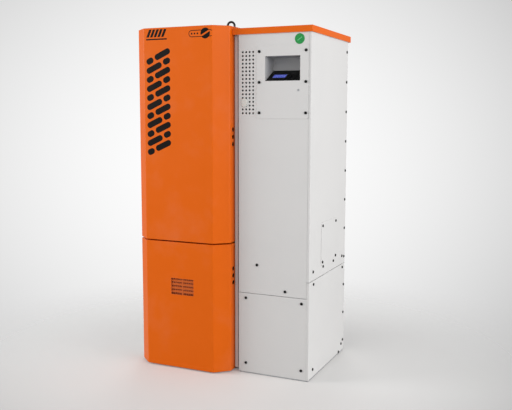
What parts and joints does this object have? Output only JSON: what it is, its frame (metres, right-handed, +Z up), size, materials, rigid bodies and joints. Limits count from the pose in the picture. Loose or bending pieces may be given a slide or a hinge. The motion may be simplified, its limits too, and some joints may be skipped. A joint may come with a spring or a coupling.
{
  "type": "pellet boiler",
  "caption": "Tall wood pellet boiler with deep folded doors beside a tall white pellet hopper cabinet with a lift-up lid, a perforated field and a recessed sloped controller",
  "frame": {"origin": "middle of the base on the floor, under the middle of the whole part's bounding box", "axes": "+X to the right as seen by a person in front of the doors, +Y to the back, +Z up"},
  "size_m": [0.834, 0.664, 1.5863],
  "materials": {
    "orange_paint": "fine-textured powder coat, satin",
    "white_paint": "fine-textured powder coat, satin",
    "vessel_paint": "heat-resistant paint, matt",
    "black_steel": "blackened or black-painted steel",
    "bare_steel": "plain rolled steel",
    "zinc_steel": "zinc-coated sheet",
    "cast_iron": "as cast",
    "brass": "turned",
    "mineral_wool": "mineral fibre blanket",
    "black_plastic": "moulded, satin",
    "grey_plastic": "moulded",
    "red_plastic": "dipped plastic sleeve",
    "clear_hose": "smooth flexible hose",
    "foam_rubber": "closed-cell foam",
    "display_glass": "backlit blue display behind a clear lens"
  },
  "bodies": {
    "cabinet": {"base_tray": "zinc_steel", "left_side_panel": "white_paint", "boiler_right_panel": "white_paint", "boiler_rear_panel": "white_paint", "top_cover": "orange_paint", "eye_bolt": "black_steel", "vessel_stand": "black_steel", "boiler_vessel": "vessel_paint", "fire_chamber": "bare_steel", "smoke_chamber": "bare_steel", "smoke_tube_1": "bare_steel", "smoke_tube_2": "bare_steel", "smoke_tube_3": "bare_steel", "insulation_jacket": "mineral_wool", "exchanger_cover": "vessel_paint", "cover_knob": "black_plastic", "turbulator_1": "bare_steel", "turbulator_2": "bare_steel", "turbulator_3": "bare_steel", "flue_spigot": "bare_steel", "flow_stub": "zinc_steel", "return_stub": "zinc_steel", "drain_valve": "brass", "burner": "cast_iron", "fan_housing": "zinc_steel", "lower_hinge_bracket": "zinc_steel", "middle_hinge_bracket": "zinc_steel", "upper_hinge_bracket": "zinc_steel", "hopper_front_panel": "white_paint", "lower_front_cover": "white_paint", "upper_side_panel": "white_paint", "lower_side_panel": "white_paint", "access_cover": "white_paint", "hopper_rear_panel": "white_paint", "hopper_left_panel": "white_paint", "filler_strip": "white_paint", "cable_gland": "black_plastic", "blanking_plug": "grey_plastic", "pellet_hopper": "zinc_steel", "auger_tube": "zinc_steel", "gear_motor": "cast_iron", "feed_hose": "clear_hose", "lid_hinge_left": "zinc_steel", "lid_hinge_right": "zinc_steel", "control_plate": "white_paint", "recess_box": "white_paint", "controller": "black_plastic", "display_lens": "display_glass"},
    "upper_door": {"upper_door": "orange_paint"},
    "lower_door": {"lower_door": "orange_paint"},
    "lid": {"hopper_lid": "orange_paint", "lid_seal": "foam_rubber"},
    "ash_pan": {"ash_pan": "black_steel"},
    "auger": {"auger_screw": "bare_steel"},
    "fan": {"fan_impeller": "bare_steel"},
    "drain_lever": {"drain_lever": "red_plastic"},
    "button_1": {"button_1": "black_plastic"},
    "button_2": {"button_2": "black_plastic"},
    "button_3": {"button_3": "black_plastic"},
    "button_4": {"button_4": "black_plastic"}
  },
  "joints": [
    {"name": "upper_door_hinge", "type": "hinge", "parent": "cabinet", "child": "upper_door", "pos_m": [-0.409, -0.239, 1.0675], "axis": [0, 0, -1], "range_deg": [0, 100]},
    {"name": "lower_door_hinge", "type": "hinge", "parent": "cabinet", "child": "lower_door", "pos_m": [-0.409, -0.239, 0.301], "axis": [0, 0, -1], "range_deg": [0, 100]},
    {"name": "lid_hinge", "type": "hinge", "parent": "cabinet", "child": "lid", "pos_m": [0.232, 0.264, 1.51], "axis": [-1, 0, 0], "range_deg": [0, 90]},
    {"name": "ash_pan_slide", "type": "slide", "parent": "cabinet", "child": "ash_pan", "axis": [0, -1, 0], "range_m": [0, 0.12]},
    {"name": "auger_turn", "type": "hinge", "parent": "cabinet", "child": "auger", "pos_m": [0.143, 0, 0.76], "axis": [0, 1, 0], "continuous": true},
    {"name": "fan_turn", "type": "hinge", "parent": "cabinet", "child": "fan", "pos_m": [-0.185, -0.27, 0.388], "axis": [0, 1, 0], "continuous": true},
    {"name": "drain_lever_turn", "type": "hinge", "parent": "cabinet", "child": "drain_lever", "pos_m": [-0.047, 0.2745, 0.177], "axis": [0, 0, -1], "range_deg": [0, 90]},
    {"name": "button_1_press", "type": "slide", "parent": "cabinet", "child": "button_1", "axis": [0, 0.454, -0.891], "range_m": [0, 0.0012], "stiffness_N_per_m": 300},
    {"name": "button_2_press", "type": "slide", "parent": "cabinet", "child": "button_2", "axis": [0, 0.454, -0.891], "range_m": [0, 0.0012], "stiffness_N_per_m": 300},
    {"name": "button_3_press", "type": "slide", "parent": "cabinet", "child": "button_3", "axis": [0, 0.454, -0.891], "range_m": [0, 0.0012], "stiffness_N_per_m": 300},
    {"name": "button_4_press", "type": "slide", "parent": "cabinet", "child": "button_4", "axis": [0, 0.454, -0.891], "range_m": [0, 0.0012], "stiffness_N_per_m": 300}
  ]
}
